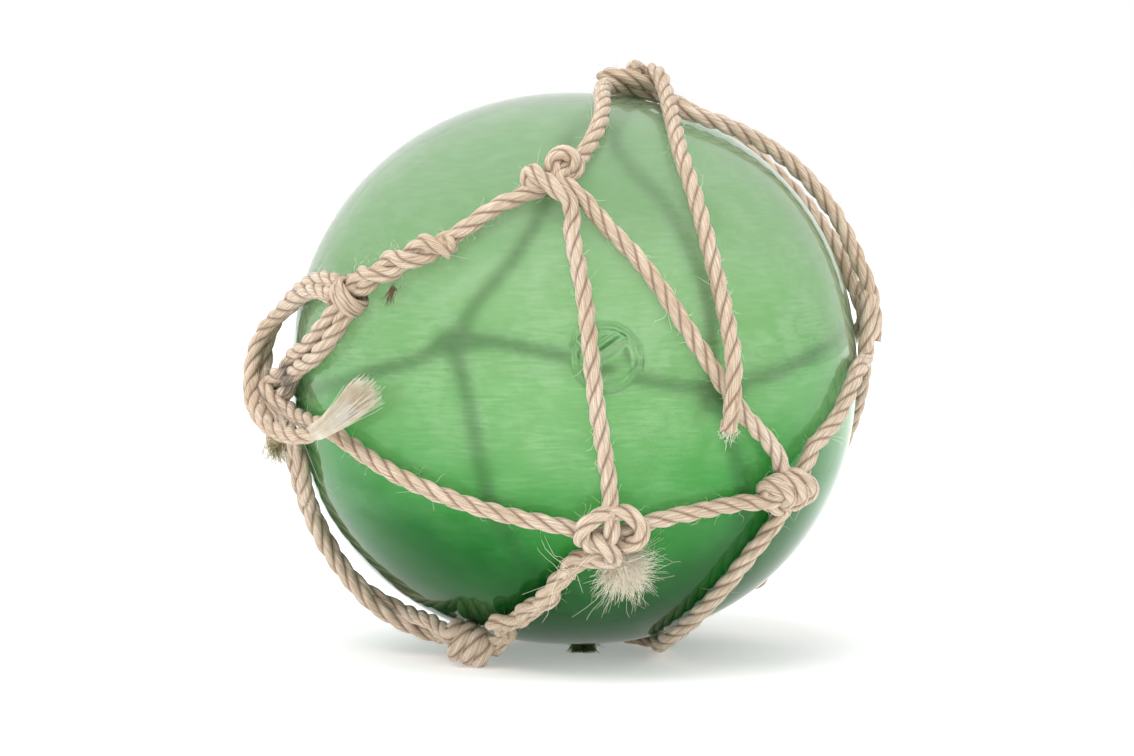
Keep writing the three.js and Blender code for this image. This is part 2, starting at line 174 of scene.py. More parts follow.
# ---- the ropes of the net: for each, its stretches by CAD node and the points they pass ----
ROPES = {
    "net_rope_long": [
        ("right_knot", [(-2, -14, 4), (-2, -8, 6), (-1, -2, 6.5), (0, 6, 7), (0, 14, 7), (-1, 24, 6)]),
        ("rope_top_to_right", [(86.5, 31, 5.5), (85, 43, 4), (73, 54, 1.5), (55, 63, 0.5)]),
        ("top_knot", [(14, -4, 0), (6, -3, 0), (-2, -3, 0), (-9, -9, 0), (-15, -18, 0)]),
        ("rope_top_to_shoulder", [(10, 59.5)]),
        ("shoulder_knot", [(13, 23, 0), (8, 12, 1), (3, 4.5, 2), (2, -4, 5), (7.5, -9, 6),
                           (15, -14, 1.5), (24, -24, 0)]),
        ("rope_shoulder_to_right_front", [(13.5, 23.5), (24, 7), (32.5, -4.5)]),
        ("right_front_knot", [(-9, 20, 0), (-3, 10, 2), (2, 1, 0), (9, -6, 3), (13, 0, 9), (8, 6, 10),
                              (2, 8, 5), (2, 1, 0), (6, -6, 5), (4, 1, 11), (-2, 6, 9), (-6, 7, 4),
                              (-5, 0, 0), (0, -5, 5), (-4, 1, 10), (-10, 4, 7), (-12, 3, 2),
                              (-9, -4, 0), (-3, -9, 2), (5, -10, 2), (4, -21, 0)]),
        ("rope_right_front_to_under", [(43, -36), (41, -51), (47, -66, 0.5), (88, -73, 0),
                                       (150, -75, 0)]),
        ("under_knot", [(-7, -15, 0), (-3, -7, 4), (0, 0, 5.5), (1, 9, 3), (0, 20, 0)]),
        ("rope_back_left_to_under", [(-158, -36), (-156.5, -15)]),
        ("back_left_knot", through(-93, 112)),
        ("rope_top_to_back_left", [(-165.5, 19.5), (-171, 31), (-178, 55)]),
        ("top_knot", [(-6, 24, 0), (1, 13, 0), (8, 2, 2), (6, -7, 4), (-1, -11, 5.5), (-10, -9, 6),
                      (-16, -2, 4), (-13, 6, 3), (-4, 12, 2), (4, 24, 0)]),
        ("rope_top_to_back_right", [(165, 55), (155, 34), (150, 15)]),
        ("back_right_knot", through(85, -120)),
        ("rope_back_right_to_back_low", [(135, -28)]),
        ("back_low_knot", through(50, -45)),
        ("rope_back_low_to_under", [(150, -63)]),
        ("under_knot", [(-20, -3, 0), (-10, 2, 0), (-1, 3, 0), (7, -4, 0), (14, -12, 0)]),
        ("rope_foot_to_under", [(-130, -73), (-95, -73), (-62, -66)]),
        ("foot_knot", [(-2, -18, 1), *foot_turns(3, 9, -9, 7), (-15, -2, 4), (-24, -12, 1)]),
        ("rope_left_to_foot_inner", [(-77, -53, 2), (-80, -45, 5), (-82, -30, 1.5), (-73, -17, 0)]),
        ("left_knot", [(10, -20, 0), (9, -9, 3), (1, -6, 5), (-5, 2, 7), (3, 8, 5), (13, 11, 2),
                       (23, 19, 0)]),
        ("rope_left_pair_upper", [(-62, 6.5), (-53, 13.5)]),
        ("left_seizing", [(-50.5, 16)]),
        ("left_splice", [(-46, 20, 3), (-42, 20, 5), (-38.5, 21, 1), (-35, 25, 1), (-31.5, 26.5, 5),
                         (-28.5, 26, 4), (-25.5, 25.5, 0)]),
    ],
    "net_rope_front": [
        ("left_splice", [(-49, 17.5, 0), (-45.5, 18, 0), (-42, 21.5, 1), (-38.5, 23.5, 4), (-35, 23, 4),
                         (-31.5, 24.5, 0), (-28.5, 27.5, 0), (-25, 29.5, 0)]),
        ("rope_shoulder_to_splice", [(-17, 35.5)]),
        ("shoulder_knot", [(-24, -11, 0), (-14, -7, 0), (-6, -3.5, 0), (2, 1.5, 0), (8.5, 5, 3),
                           (7, 10, 7), (1.5, 11, 8), (-3, 6.5, 7), (-2, 1, 4), (-7, -4, 2),
                           (-13, -3.5, 3), (-12.5, 1, 7), (-6, -5, 9), (1, -12, 9), (6.5, -16, 6),
                           (8, -21, 1.5), (8.5, -31, 0)]),
        ("rope_shoulder_to_front", [(2, 16.5), (3, 7, 1.8), (4, -2, 0)]),
        ("front_knot", [(1, 24, 0), (1, 14, 3), (2, 6, 7), (1, 2, 5), (-6, 3, 5), (-2, 1, 9),
                        (3, -4, 9), (3, -9, 6), (-4, -12, 2), (-14, -13, 0)]),
        ("front_splice", [(-2, -37.5, 0), (-7, -42, 2), (-11, -47.5, 0), (-17, -50, 2), (-24, -54.5, 0)]),
        ("foot_knot", [(19, 15, 0), (13, 7, 3), (5, 1, 6), (-6, 0, 7), (-14, -4, 5), (-19, -16, 2)]),
        ("rope_left_to_foot", [(-68, -61.5, 4), (-76, -50, 8), (-81, -38, 5.5), (-80, -20, 1)]),
        ("left_knot", [(1, -24, 0), (-2, -13, 2), (-9, -8, 3), (-10, 1, 6), (-2, 3, 9), (7, -3, 6),
                       (17, -7, 1), (28, -10, 0)]),
        ("rope_left_to_front", [(-54, -9.5), (-36, -17), (-21, -22)]),
        ("front_knot", [(-24, 6, 0), (-13, 4, 0), (-4, 2, 0), (6, 2, 0), (14, 5, 0), (24, 8, 0)]),
        ("rope_front_to_right_front", [(26, -23.5)]),
        ("right_front_knot", [(-22, -7, 0), (-12, -6, 2), (-4, -2, 5), (6, 4, 5), (14, 11, 2),
                              (21, 19, 0)]),
        ("rope_right_to_right_front", [(60.5, -8), (72, 1)]),
        ("right_knot", [(-12, -22, 0), (-7, -13, 1), (-5, -4, 3), (-3, 5, 5), (3, 9, 5), (7, 4, 3),
                        (6, -5, 1), (14, -8, 0), (24, -9, 0)]),
        ("rope_back_right_to_right", [(104, 5), (130, -3)]),
        ("back_right_knot", round_turn(150, 15, 105)),
        ("rope_back_left_to_back_right", [(-179, -2)]),
        ("back_left_knot", round_turn(180, -20, 80)),
        ("rope_left_to_back_left", [(-132, -4), (-105, -5.5)]),
        ("left_knot", [(-22, 0, 0), (-10, 0, 1), (0, -1, 1), (10, 0, 1), (20, 6, 0), (30, 12, 0)]),
        ("rope_left_pair_lower", [(-58, 4.5), (-51.5, 10)]),
        ("left_seizing", [(-48, 15)]),
    ],
    "net_rope_right": [
        ("top_knot", [(-2, -11, 10), (-1, -3, 11), (5, 6, 7), (13, 14, 0), (22, 20, 0)]),
        ("rope_top_to_right_back", [(117, 56), (105, 34.5)]),
        ("right_knot", [(20, 24, 0), (13, 14, 0), (6, 4, 1), (8, -12, 2), (13, -24, 0)]),
        ("rope_right_to_back_low", [(104, -16)]),
        ("back_low_knot", round_turn(112, 2, 90)),
    ],
    "net_rope_tufted": [
        ("front_knot", [(-1, -2, 1), (-7, -2, 3), (-12, 4, 6), (-10, 11, 7), (-4, 14.5, 5),
                        (3, 15.5, 3), (9, 15.5, 5), (14.5, 11, 7), (15, 4, 8), (10, -1, 6), (3, -3, 2),
                        (-4, -7, 1), (-14, -18, 0)]),
        ("front_splice", [(-5, -39.5, 1.5), (-6, -44, 0), (-13, -46, 2.5), (-16, -51.5, 0),
                          (-25, -52, 2)]),
        ("foot_knot", [(15, 19, 0), (16, 8, 2), (12, -3, 6)]),
    ],
    "net_rope_spare": [
        ("rope_behind_loop", [(-53, 18.5, 1), (-62, 19, 0), (-71, 17, 0), (-79, 13, 2), (-85, 9, 6),
                              (-88, 4, 9)]),
        ("left_knot", [(-12, 4, 9), (-9, -3, 9), (-6, -11, 8.5), (-4, -18, 8), (-3, -24, 7)]),
    ],
}

# ---- the free ends of rope: longitude, latitude and lift ----
HANGING_TAIL = [
    (88, 75.5, 11), (72, 73, 10), (57, 68.5, 4), (43, 61.5, 0.8), (35.5, 54.5, 0), (31.5, 47.5, 0),
    (30, 41, 0), (29.3, 34.5, 0), (29, 28, 0), (29, 21.5, 0.5), (29.2, 15, 2), (29.3, 10, 4.5),
    (29, 5.5, 8), (28.5, 1, 10.5), (28, -3.5, 11), (27.6, -7.5, 10.5),
]
LOOP_TAIL = [
    (-54, 15.5, 1.5), (-59, 16.5, 0.5), (-65, 16.5, 0), (-71.5, 14.8, 0.5), (-77.5, 12, 3),
    (-82.5, 9, 8), (-85, 6, 12), (-85, 2.5, 15), (-83, -1.5, 16.5), (-78, -5.5, 17), (-71.5, -8.5, 15),
    (-65, -10, 12), (-58.5, -10, 10.5), (-52, -8.5, 10), (-46, -5.5, 9), (-41, -2, 7.5),
]


# ---- meshes from arrays ----
def mesh_piece(name, points, faces):
    """A smooth object from an array of points and a list of (n, corners) arrays of point numbers."""
    mesh = bpy.data.meshes.new(name)
    mesh.vertices.add(len(points))
    mesh.vertices.foreach_set("co", np.asarray(points, dtype=np.float32).ravel())
    corners = np.concatenate([f.ravel() for f in faces]).astype(np.int32)
    sizes = np.concatenate([np.full(len(f), f.shape[1]) for f in faces])
    mesh.loops.add(len(corners))
    mesh.loops.foreach_set("vertex_index", corners)
    mesh.polygons.add(len(sizes))
    mesh.polygons.foreach_set(
        "loop_start", (np.cumsum(sizes) - sizes).astype(np.int32)
    )
    mesh.update(calc_edges=True)
    mesh.polygons.foreach_set("use_smooth", np.full(len(sizes), True))
    mesh.validate()
    piece = bpy.data.objects.new(name, mesh)
    bpy.context.collection.objects.link(piece)
    return piece


def tube_faces(rings, sides, first=0):
    """The quads of a tube of rings and a fan at each end.

    Its points are the rings in turn, then the middle of the first and of the last.
    """
    i, j = np.meshgrid(np.arange(rings - 1), np.arange(sides), indexing="ij")
    k = (j + 1) % sides
    quads = np.stack(
        [i * sides + j, i * sides + k, (i + 1) * sides + k, (i + 1) * sides + j], -1
    ).reshape(-1, 4)
    j = np.arange(sides)
    k = (j + 1) % sides
    start, end = rings * sides, rings * sides + 1
    last = (rings - 1) * sides
    fans = np.concatenate(
        [
            np.stack([np.full(sides, start), k, j], -1),
            np.stack([np.full(sides, end), last + j, last + k], -1),
        ]
    )
    return quads + first, fans + first


def put_vectors(piece, name, values):
    """Keeps a vector at each point, for its material to read."""
    layer = piece.data.attributes.new(name, "FLOAT_VECTOR", "POINT")
    layer.data.foreach_set("vector", np.asarray(values, dtype=np.float32).ravel())


# ---- a rope's middle line ----
def smooth_line(rows, spacing):
    """A centripetal Catmull-Rom curve through rows of place and lift.

    Its places are carried back on to the ball's skin and then lifted, and its points are evenly spaced.
    """
    rows = np.array(rows, dtype=float)
    rows = np.vstack([2 * rows[0] - rows[1], rows, 2 * rows[-1] - rows[-2]])
    steps = np.sqrt(np.linalg.norm(np.diff(rows, axis=0), axis=1))
    share = np.linspace(0, 1, 40, endpoint=False)[None, :, None]
    a, b, c, d = rows[:-3, None], rows[1:-2, None], rows[2:-1, None], rows[3:, None]
    t1 = steps[:-2, None, None]
    t2 = t1 + steps[1:-1, None, None]
    t3 = t2 + steps[2:, None, None]
    t = t1 + share * (t2 - t1)

    def mix(p, q, tp, tq):
        return (p * (tq - t) + q * (t - tp)) / (tq - tp)

    ab, bc, cd = mix(a, b, 0, t1), mix(b, c, t1, t2), mix(c, d, t2, t3)
    curve = mix(mix(ab, bc, 0, t2), mix(bc, cd, t1, t3), t1, t2).reshape(-1, 4)
    curve = np.vstack([curve, rows[-2]])
    direction = unit(curve[:, :3] - MIDDLE)
    reach = surface_radius(direction) + ROPE + GAP + curve[:, 3]
    line = (MIDDLE + direction * reach[:, None]) * MM
    along = along_line(line)
    count = max(int(round(along[-1] / spacing)), 8) + 1
    at = np.linspace(0, along[-1], count)
    return np.stack([np.interp(at, along, line[:, i]) for i in range(3)], -1)


def along_line(line):
    """The distance along a line at each of its points."""
    return np.concatenate([[0], np.cumsum(np.linalg.norm(np.diff(line, axis=0), axis=1))])


def carried_axes(line):
    """The line's direction at each point, and two axes across it carried along by double reflection."""
    tangent = unit(np.gradient(line, axis=0))
    axis = np.empty_like(tangent)
    start = unit(line[0] - MIDDLE * MM)
    axis[0] = unit(start - tangent[0] * (start @ tangent[0]))
    for i in range(len(line) - 1):  # each axis comes from the one before
        step = line[i + 1] - line[i]
        c = step @ step
        a = axis[i] - 2 / c * (step @ axis[i]) * step
        t = tangent[i] - 2 / c * (step @ tangent[i]) * step
        v = tangent[i + 1] - t
        d = v @ v
        axis[i + 1] = a if d < 1e-20 else a - 2 / d * (v @ a) * v
    return tangent, axis, np.cross(tangent, axis)


# ---- three-strand rope ----
LAY = 36 * MM  # one whole turn of a strand
STRANDS = 3
CENTRE = 0.42  # from the rope's middle to a strand's, as a share of the rope's radius
LOBE = 0.58  # a strand's own radius, likewise
PER_STRAND = 10  # points round each strand
SPACING = 1.5 * MM  # between rings


def rope_skin(line, radius, seed):
    """The skin of a three-strand rope along a line, its straightened place and its grooves' depth.

    Each ring is three round lobes, r = c cos a + sqrt(q^2 - (c sin a)^2) for the angle a from
    a strand's middle, and turns with the lay.
    """
    rng = np.random.default_rng(seed)
    _, axis, other = carried_axes(line)
    s = along_line(line)
    a = np.radians(60.0) * np.sin(np.linspace(-np.pi / 2, np.pi / 2, PER_STRAND + 1))[:-1]
    lobes = np.concatenate([a + k * 2 * np.pi / STRANDS for k in range(STRANDS)])
    off = np.tile(a, STRANDS)
    profile = CENTRE * np.cos(off) + np.sqrt(LOBE**2 - (CENTRE * np.sin(off)) ** 2)
    # each strand swells and thins slowly by itself
    swell = np.zeros((len(s), STRANDS))
    for k in range(STRANDS):
        for wave in (0.011, 0.027, 0.06):
            swell[:, k] += np.sin(2 * np.pi * (s / wave + rng.random()))
    swell = 1 + 0.016 * np.repeat(swell, PER_STRAND, axis=1)
    turn = 2 * np.pi * s[:, None] / LAY + lobes[None]
    r = radius * profile[None] * swell
    ring = (
        line[:, None]
        + (r * np.cos(turn))[..., None] * axis[:, None]
        + (r * np.sin(turn))[..., None] * other[:, None]
    )
    ring[..., 2] = np.maximum(ring[..., 2], 0.0)
    depth = np.broadcast_to(1 - profile[None] / profile.max(), r.shape)
    unrolled = np.stack(
        [
            np.broadcast_to(s[:, None], r.shape) + 7.3 * seed,
            ROPE * MM * np.cos(turn),
            ROPE * MM * np.sin(turn),
        ],
        -1,
    )
    return ring, unrolled, depth


def rope_piece(name, line, radius, seed):
    """A rope as one closed skin, with its straightened place and its grooves' depth for the material."""
    ring, unrolled, depth = rope_skin(line, radius, seed)
    rings, sides = ring.shape[:2]
    ends = np.stack([line[0], line[-1]])
    points = np.concatenate([ring.reshape(-1, 3), ends])
    piece = mesh_piece(name, points, tube_faces(rings, sides))
    unrolled = np.concatenate([unrolled.reshape(-1, 3), unrolled[[0, -1], 0] * [1, 0, 0]])
    put_vectors(piece, "straightened", unrolled)
    depth = np.concatenate([depth.ravel(), [0.2, 0.2]])
    layer = piece.data.attributes.new("groove", "FLOAT", "POINT")
    layer.data.foreach_set("value", depth.astype(np.float32))
    return piece


# ---- hemp fibres ----
def fibres(name, roots, ways, lengths, radius, curl, seed, steps=5):
    """Fibres as tapered hairs in one mesh.

    Each leaves its root along its way, bends aside by a random amount that grows with the square
    of the distance, and waves 1.3 times along its length.
    """
    rng = np.random.default_rng(seed)
    n = len(roots)
    ways = unit(ways)
    helper = np.where(np.abs(ways[:, 2:3]) < 0.9, [[0.0, 0.0, 1.0]], [[1.0, 0.0, 0.0]])
    side = unit(np.cross(ways, helper))
    other = np.cross(ways, side)
    t = np.linspace(0, 1, steps + 1)[None, :, None]
    bend = rng.normal(0, curl, (2, n, 1, 1))
    wave = rng.normal(0, curl * 0.35, (2, n, 1, 1))
    phase = rng.random((2, n, 1, 1)) * 2 * np.pi
    shift = [
        bend[k] * t**2 + wave[k] * t * np.sin(2 * np.pi * t * 1.3 + phase[k])
        for k in range(2)
    ]
    length = np.asarray(lengths)[:, None, None]
    path = roots[:, None] + length * (
        ways[:, None] * t + side[:, None] * shift[0] + other[:, None] * shift[1]
    )
    return hairs(name, path, radius)


def hairs(name, path, radius):
    """Three-sided tapered hairs in one mesh along an (n, steps, 3) array. None goes below the floor."""
    sides = 3
    path = path.copy()
    path[..., 2] = np.maximum(path[..., 2], radius)
    n, steps = path.shape[:2]
    tangent = unit(np.gradient(path, axis=1))
    helper = np.where(np.abs(tangent[:, :1, 2:3]) < 0.9, [[[0.0, 0.0, 1.0]]], [[[1.0, 0.0, 0.0]]])
    side = unit(np.cross(tangent, helper))
    other = np.cross(tangent, side)
    around = 2 * np.pi * np.arange(sides) / sides
    taper = radius * np.linspace(1, 0.35, steps)[None, :, None]
    ring = (
        path[:, :, None]
        + (taper * np.cos(around))[..., None] * side[:, :, None]
        + (taper * np.sin(around))[..., None] * other[:, :, None]
    )
    per = steps * sides + 2
    points = np.concatenate([ring.reshape(n, -1, 3), path[:, [0, -1]]], axis=1).reshape(-1, 3)
    quads, fans = tube_faces(steps, sides)
    firsts = (np.arange(n) * per)[:, None, None]
    return mesh_piece(
        name,
        points,
        [(quads[None] + firsts).reshape(-1, 4), (fans[None] + firsts).reshape(-1, 3)],
    )


STRAY = 1.2 * MM  # how far a combed fibre wanders from its place


def brush(name, line, start_radius, end_radius, count, radius, seed):
    """Combed-out fibres that run on along a line.

    Each keeps its place in the rope's round, which widens from the start radius to the end one,
    and stops somewhere in roughly the last quarter of the line.
    """
    rng = np.random.default_rng(seed)
    _, axis, other = carried_axes(line)
    steps = 12
    reach = rng.uniform(0.72, 1.0, count)
    t = np.linspace(0, 1, steps)[None] * reach[:, None]
    at = t * (len(line) - 1)
    i = np.clip(at.astype(int), 0, len(line) - 2)
    share = (at - i)[..., None]
    middle = line[i] * (1 - share) + line[i + 1] * share
    out = np.sqrt(rng.random(count)) * rng.uniform(0.9, 1.1, count)
    angle = rng.random(count) * 2 * np.pi
    spread = start_radius + (end_radius - start_radius) * t**1.5
    u = out[:, None] * np.cos(angle)[:, None] * spread + rng.normal(0, STRAY, (count, 1)) * t**2
    v = out[:, None] * np.sin(angle)[:, None] * spread + rng.normal(0, STRAY, (count, 1)) * t**2
    path = middle + u[..., None] * axis[i] + v[..., None] * other[i]
    return hairs(name, path, radius)


def fuzz_along(line, radius, per_mm, longest, seed):
    """Roots, ways and lengths of the loose fibres that stand off a rope: they lean along it."""
    rng = np.random.default_rng(seed)
    tangent, axis, other = carried_axes(line)
    s = along_line(line)
    n = int(s[-1] / MM * per_mm)
    at = rng.random(n) * s[-1]
    i = np.clip(np.searchsorted(s, at), 1, len(s) - 1)
    angle = rng.random(n) * 2 * np.pi
    out = np.cos(angle)[:, None] * axis[i] + np.sin(angle)[:, None] * other[i]
    roots = line[i] + out * radius * 0.8
    lean = rng.uniform(0.15, 0.9, n)[:, None]
    heading = rng.choice([-1, 1], n)[:, None] * tangent[i]
    sideways = rng.normal(0, 0.5, n)[:, None] * np.cross(tangent[i], out)
    ways = out * lean + heading + sideways
    lengths = longest * rng.uniform(0.25, 1, n) ** 2
    return roots, ways, lengths


# ---- materials ----
def linear(code):
    """An sRGB hex colour as linear numbers."""
    c = np.array([int(code[i : i + 2], 16) / 255 for i in (1, 3, 5)])
    c = np.where(c <= 0.04045, c / 12.92, ((c + 0.055) / 1.055) ** 2.4)
    return (*c, 1.0)


def add(tree, kind, settings=None, links=None):
    """Adds a node.

    Settings go to its inputs, its own properties or its colour stops by name; links join its
    inputs to outputs.
    """
    node = tree.nodes.new(kind)
    for name, value in (settings or {}).items():
        if name == "stops":
            elements = node.color_ramp.elements
            while len(elements) < len(value):
                elements.new(0.5)
            for element, (place, code) in zip(elements, value):
                element.position = place
                element.color = linear(code)
        elif isinstance(name, int) or name in node.inputs:
            node.inputs[name].default_value = value
        else:
            setattr(node, name, value)
    for name, output in (links or {}).items():
        tree.links.new(output, node.inputs[name])
    return node


def material(name):
    """A material with an empty tree and its output node."""
    made = bpy.data.materials.new(name)
    made.use_nodes = True
    made.node_tree.nodes.clear()
    return made, made.node_tree, made.node_tree.nodes.new("ShaderNodeOutputMaterial")


def hemp_rope():
    """Weathered hemp, three strands hand laid: pale straw fibres almost parallel to the rope.

    Their grooves are darkened to brown as painted shade; they are matt with a soft sheen.
    """
    made, tree, out = material("weathered hemp rope")
    place = add(tree, "ShaderNodeAttribute", {"attribute_name": "straightened"})
    groove = add(tree, "ShaderNodeAttribute", {"attribute_name": "groove"})
    where = add(tree, "ShaderNodeTexCoord")

    # fibres 0.7 mm across, drawn out over 12 mm
    drawn = add(
        tree,
        "ShaderNodeMapping",
        {"Scale": (1 / 0.012, 1 / 0.0007, 1 / 0.0007)},
        {"Vector": place.outputs["Vector"]},
    )
    streak = add(
        tree,
        "ShaderNodeTexNoise",
        {"Scale": 1.0, "Detail": 3.0, "Roughness": 0.6},
        {"Vector": drawn.outputs["Vector"]},
    )
    fibre = add(
        tree,
        "ShaderNodeValToRGB",
        {"stops": [(0.3, "#a8957f"), (0.48, "#cdbdaa"), (0.66, "#ebe2d4")]},
        {"Fac": streak.outputs["Fac"]},
    )

    # worn and weathered stretches some 45 mm long
    patch = add(
        tree,
        "ShaderNodeTexNoise",
        {"Scale": 22.0, "Detail": 3.0},
        {"Vector": where.outputs["Object"]},
    )
    worn = add(
        tree,
        "ShaderNodeValToRGB",
        {"stops": [(0.35, "#e3cfb4"), (0.65, "#fff2ea")]},
        {"Fac": patch.outputs["Fac"]},
    )
    toned = add(
        tree,
        "ShaderNodeMix",
        {"data_type": "RGBA", "blend_type": "MULTIPLY", 0: 0.55},
        {6: fibre.outputs["Color"], 7: worn.outputs["Color"]},
    )

    # painted shade: the grooves between the strands are darkened to brown
    groove_shade = add(
        tree,
        "ShaderNodeMapRange",
        {"From Min": 0.13, "From Max": 0.34, "To Min": 0.0, "To Max": 0.85},
        {"Value": groove.outputs["Fac"]},
    )
    shaded = add(
        tree,
        "ShaderNodeMix",
        {"data_type": "RGBA", "blend_type": "MIX", 7: linear("#7d6350")},
        {0: groove_shade.outputs["Result"], 6: toned.outputs[2]},
    )

    # soot-brown dirt on the left knot, about 18 mm across
    far = add(
        tree,
        "ShaderNodeVectorMath",
        {"operation": "DISTANCE", 1: (-0.151, -0.052, 0.149)},
        {0: where.outputs["Object"]},
    )
    ragged = add(
        tree,
        "ShaderNodeMath",
        {"operation": "MULTIPLY_ADD", 1: 0.016},
        {0: streak.outputs["Fac"], 2: far.outputs["Value"]},
    )
    dirt = add(
        tree,
        "ShaderNodeMapRange",
        {"From Min": 0.013, "From Max": 0.021, "To Min": 0.8, "To Max": 0.0},
        {"Value": ragged.outputs[0]},
    )
    soiled = add(
        tree,
        "ShaderNodeMix",
        {"data_type": "RGBA", "blend_type": "MIX", 7: linear("#41342c")},
        {0: dirt.outputs["Result"], 6: shaded.outputs[2]},
    )

    bump = add(
        tree,
        "ShaderNodeBump",
        {"Strength": 0.6, "Distance": 0.0005},
        {"Height": streak.outputs["Fac"]},
    )
    shader = add(
        tree,
        "ShaderNodeBsdfPrincipled",
        {"Roughness": 0.8, "Sheen Weight": 0.25, "Sheen Roughness": 0.5, "Specular IOR Level": 0.3},
        {"Base Color": soiled.outputs[2], "Normal": bump.outputs["Normal"]},
    )
    tree.links.new(shader.outputs["BSDF"], out.inputs["Surface"])
    return made


def hemp_fibre(name, dark, pale):
    """Single hemp fibres, combed out of the rope, a little shiny, between two tones."""
    made, tree, out = material(name)
    where = add(tree, "ShaderNodeTexCoord")
    tone = add(
        tree,
        "ShaderNodeTexNoise",
        {"Scale": 120.0, "Detail": 1.0},
        {"Vector": where.outputs["Object"]},
    )
    colour = add(
        tree,
        "ShaderNodeValToRGB",
        {"stops": [(0.3, dark), (0.7, pale)]},
        {"Fac": tone.outputs["Fac"]},
    )
    shader = add(
        tree,
        "ShaderNodeBsdfPrincipled",
        {"Roughness": 0.6, "Specular IOR Level": 0.4, "Sheen Weight": 0.2},
        {"Base Color": colour.outputs["Color"]},
    )
    tree.links.new(shader.outputs["BSDF"], out.inputs["Surface"])
    return made


# the glass's green from the floor up, as shares of 0.3 m, darkened low down by painted shade
GLASS_TINTS_AND_SHADE = [
    (0.0, "#006c1a"),
    (0.09, "#067a26"),
    (0.17, "#359a46"),
    (0.24, "#74bc74"),
    (0.42, "#a8d09e"),
    (0.62, "#b6d8ac"),
    (0.9, "#c2debb"),
]


def green_glass(name, roughness, sheen):
    """Recycled soda-lime bottle glass, blown by mouth: green right through and clouded by age.

    Its tint is darker low down, painted shade for the shadowed ground seen through its bottom, and darker
    towards its two sides.
    """
    made, tree, out = material(name)
    where = add(tree, "ShaderNodeTexCoord")
    place = add(tree, "ShaderNodeSeparateXYZ", links={"Vector": where.outputs["Object"]})

    # clouded patches about 110 mm wide and 60 mm high shift the tint up or down by at most 55 mm
    patches = add(
        tree,
        "ShaderNodeMapping",
        {"Scale": (9.0, 9.0, 16.0)},
        {"Vector": where.outputs["Object"]},
    )
    cloud = add(
        tree,
        "ShaderNodeTexNoise",
        {"Scale": 1.0, "Detail": 5.0, "Roughness": 0.6, "Distortion": 0.6},
        {"Vector": patches.outputs["Vector"]},
    )
    lifted = add(
        tree,
        "ShaderNodeMath",
        {"operation": "MULTIPLY_ADD", 1: 0.11, 2: -0.055},
        {0: cloud.outputs["Fac"]},
    )
    raised = add(
        tree,
        "ShaderNodeMath",
        {"operation": "ADD"},
        {0: place.outputs["Z"], 1: lifted.outputs[0]},
    )
    aside = add(
        tree,
        "ShaderNodeMath",
        {"operation": "MULTIPLY"},
        {0: place.outputs["X"], 1: place.outputs["X"]},
    )
    level = add(
        tree,
        "ShaderNodeMath",
        {"operation": "MULTIPLY_ADD", 1: -2.4},
        {0: aside.outputs[0], 2: raised.outputs[0]},
    )
    height = add(
        tree,
        "ShaderNodeMapRange",
        {"From Min": 0.0, "From Max": 0.3},
        {"Value": level.outputs[0]},
    )
    # painted shade: the tint below darkens towards the floor
    tint = add(
        tree,
        "ShaderNodeValToRGB",
        {"stops": GLASS_TINTS_AND_SHADE},
        {"Fac": height.outputs["Result"]},
    )

    # salt haze in blots some 26 mm across, wiped in marks about 11 mm long and 1.4 mm high
    blot = add(
        tree,
        "ShaderNodeTexNoise",
        {"Scale": 38.0, "Detail": 6.0, "Roughness": 0.68, "Distortion": 0.8},
        {"Vector": where.outputs["Object"]},
    )
    wiped = add(
        tree,
        "ShaderNodeMapping",
        {"Scale": (90.0, 90.0, 700.0), "Rotation": (0.25, 0.15, 0.0)},
        {"Vector": where.outputs["Object"]},
    )
    mark = add(
        tree,
        "ShaderNodeTexNoise",
        {"Scale": 1.0, "Detail": 4.0, "Roughness": 0.7},
        {"Vector": wiped.outputs["Vector"]},
    )
    haze = add(
        tree,
        "ShaderNodeMath",
        {"operation": "MULTIPLY"},
        {0: blot.outputs["Fac"], 1: mark.outputs["Fac"]},
    )
    veil = add(
        tree,
        "ShaderNodeMapRange",
        {"From Min": 0.2, "From Max": 0.34, "To Min": 0.0, "To Max": 0.55},
        {"Value": haze.outputs[0]},
    )

    # hardly any of it low down, kept out there as painted shade
    above = add(
        tree,
        "ShaderNodeMapRange",
        {"From Min": 0.04, "From Max": 0.14, "To Min": 0.03, "To Max": 1.0},
        {"Value": level.outputs[0]},
    )
    veiled = add(
        tree,
        "ShaderNodeMath",
        {"operation": "MULTIPLY"},
        {0: veil.outputs["Result"], 1: above.outputs["Result"]},
    )
    colour = add(
        tree,
        "ShaderNodeMix",
        {"data_type": "RGBA", "blend_type": "MIX", 7: linear("#d8ead2")},
        {0: veiled.outputs[0], 6: tint.outputs["Color"]},
    )
    shader = add(
        tree,
        "ShaderNodeBsdfPrincipled",
        {
            "Roughness": roughness,
            "IOR": 1.5,
            "Transmission Weight": 0.84,
            "Specular Tint": linear("#4fd668"),
            "Sheen Weight": sheen,
            "Sheen Roughness": 0.3,
        },
        {"Base Color": colour.outputs[2]},
    )
    tree.links.new(shader.outputs["BSDF"], out.inputs["Surface"])
    return made


rope_finish = hemp_rope()
pale_fibre = hemp_fibre("loose hemp fibres, pale cream", "#eadcc0", "#fdf7ea")
olive_fibre = hemp_fibre("old hemp fibres, gone olive with algae", "#3d4a1e", "#8f8a52")
brown_fibre = hemp_fibre("hemp fibres stained brown", "#3b2a1c", "#7d5f41")
yellow_fibre = hemp_fibre("old hemp fibres, yellowed", "#7f7440", "#cfc38d")
